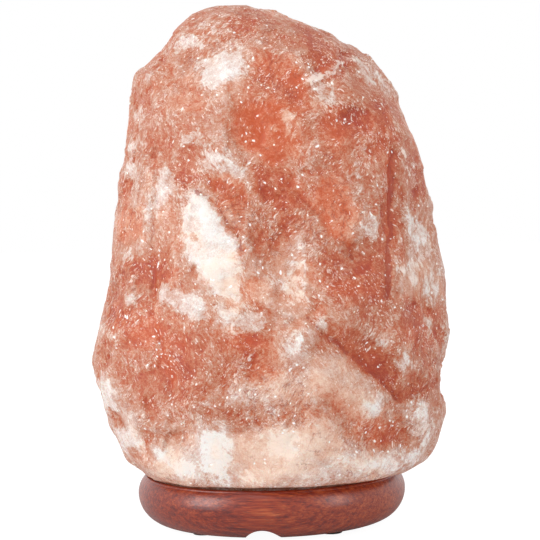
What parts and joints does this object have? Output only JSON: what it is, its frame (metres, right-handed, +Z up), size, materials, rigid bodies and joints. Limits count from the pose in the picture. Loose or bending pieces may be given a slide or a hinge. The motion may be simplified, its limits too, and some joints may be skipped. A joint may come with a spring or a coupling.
{
  "type": "salt crystal lamp",
  "caption": "Hewn rock salt crystal bored for a bulb, on a turned wooden base with a lamp holder held by a spring clip.",
  "frame": {"origin": "on the axis of the wooden base, on the surface that the lamp stands on", "axes": "+Z up along the base's axis, -Y to the front, where the cord groove leaves the base, +X to the viewer's right"},
  "size_m": [0.1513, 0.133, 0.2206],
  "materials": {
    "rock_salt": "rough, waxy, translucent, pink to orange-brown with white clouds",
    "lacquered_wood": "reddish-brown satin lacquer over fine grain",
    "zinc_steel": "zinc plated",
    "spring_steel": "bright spring strip",
    "black_plastic": "moulded, satin",
    "grey_rubber": "matt rubber",
    "white_ceramic": "fired steatite",
    "brass": "drawn sheet",
    "nickel_brass": "nickel plated",
    "solder": "dull solder",
    "black_glass": "black glass insulator",
    "clear_glass": "clear, thin",
    "nickel_wire": "drawn wire",
    "tungsten": "coiled wire",
    "felt": "dark pressed felt"
  },
  "bodies": {
    "lamp_base": {"wooden_base": "lacquered_wood", "salt_crystal": "rock_salt", "crystal_screws": "zinc_steel", "foot_pad_front_right": "felt", "foot_pad_back_right": "felt", "foot_pad_back_left": "felt", "foot_pad_front_left": "felt"},
    "lamp_holder": {"holder_cap": "black_plastic", "holder_sleeve": "black_plastic", "holder_ring_nut": "black_plastic", "clip_plate": "spring_steel", "cord_bush": "grey_rubber", "contact_block": "white_ceramic", "thread_shell": "brass", "centre_contact": "brass", "side_contact": "brass", "terminal_screws": "zinc_steel"},
    "clip_left": {"clip_wing_left": "spring_steel"},
    "clip_right": {"clip_wing_right": "spring_steel"},
    "bulb_rise": {"bulb_tip": "solder"},
    "bulb": {"bulb_insulator": "black_glass", "bulb_cap": "nickel_brass", "bulb_glass": "clear_glass", "bulb_stem": "clear_glass", "bulb_lead_wires": "nickel_wire", "bulb_filament": "tungsten"}
  },
  "joints": [
    {"name": "holder_draw", "type": "slide", "parent": "lamp_base", "child": "lamp_holder", "axis": [0, 0, -1], "range_m": [0, 0.095]},
    {"name": "wing_left_squeeze", "type": "hinge", "parent": "lamp_holder", "child": "clip_left", "pos_m": [-0.01805, 0, 0.03575], "axis": [0, -1, 0], "range_deg": [0, 12], "stiffness_Nm_per_rad": 0.2, "springref_deg": -5.73},
    {"name": "wing_right_squeeze", "type": "hinge", "parent": "lamp_holder", "child": "clip_right", "pos_m": [0.01805, 0, 0.03575], "axis": [0, 1, 0], "range_deg": [0, 12], "stiffness_Nm_per_rad": 0.2, "springref_deg": -5.73},
    {"name": "bulb_travel", "type": "slide", "parent": "lamp_holder", "child": "bulb_rise", "axis": [0, 0, 1], "range_m": [0, 0.0085]},
    {"name": "bulb_turn", "type": "hinge", "parent": "bulb_rise", "child": "bulb", "pos_m": [0, 0, 0.05], "axis": [0, 0, 1], "range_deg": [0, 1080]}
  ],
  "couplings": [
    {"joint": "bulb_travel", "follows": "bulb_turn", "m_per_rad": 0.00044913}
  ]
}
